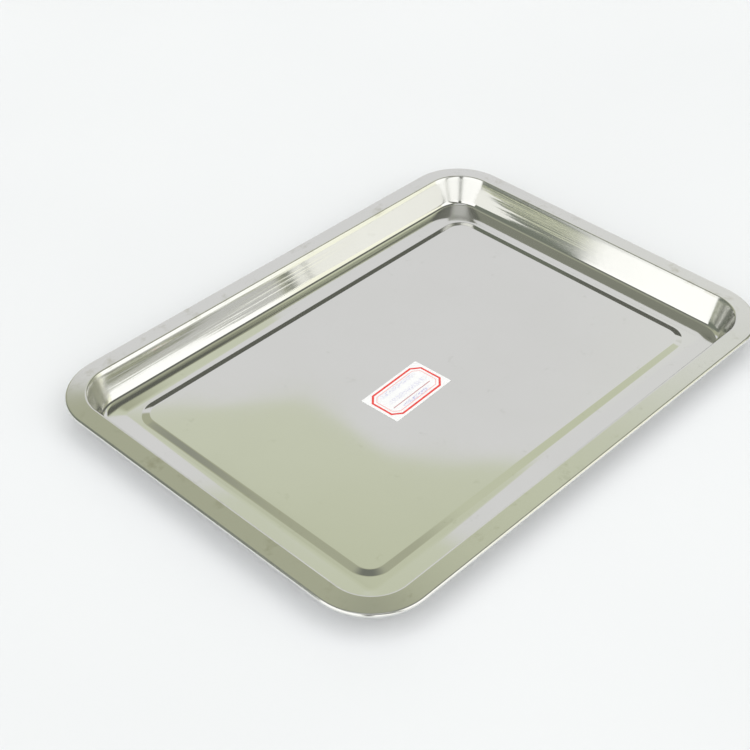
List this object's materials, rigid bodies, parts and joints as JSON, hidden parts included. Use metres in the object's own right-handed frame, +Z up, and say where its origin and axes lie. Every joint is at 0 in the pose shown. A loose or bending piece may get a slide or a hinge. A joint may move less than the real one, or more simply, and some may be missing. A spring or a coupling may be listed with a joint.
{
  "type": "metal tray",
  "caption": "Shallow rectangular pressed steel tray with rounded corners, a flange with a rolled edge, sloping walls, a low raised panel in its floor and a paper label.",
  "frame": {"origin": "middle of the tray in plan, on the plane of the underside of the floor's border, which is what the tray stands on", "axes": "+X along the long side, +Y along the short side, +Z up, out of the open top"},
  "size_m": [0.4, 0.2924, 0.0209],
  "materials": {
    "stainless_sheet": "satin",
    "label_paper": "coated white paper with a red printed frame",
    "label_glue": "clear tacky film"
  },
  "bodies": {
    "root": {"tray_pan": "stainless_sheet", "label_paper": "label_paper", "label_glue": "label_glue"}
  },
  "joints": []
}
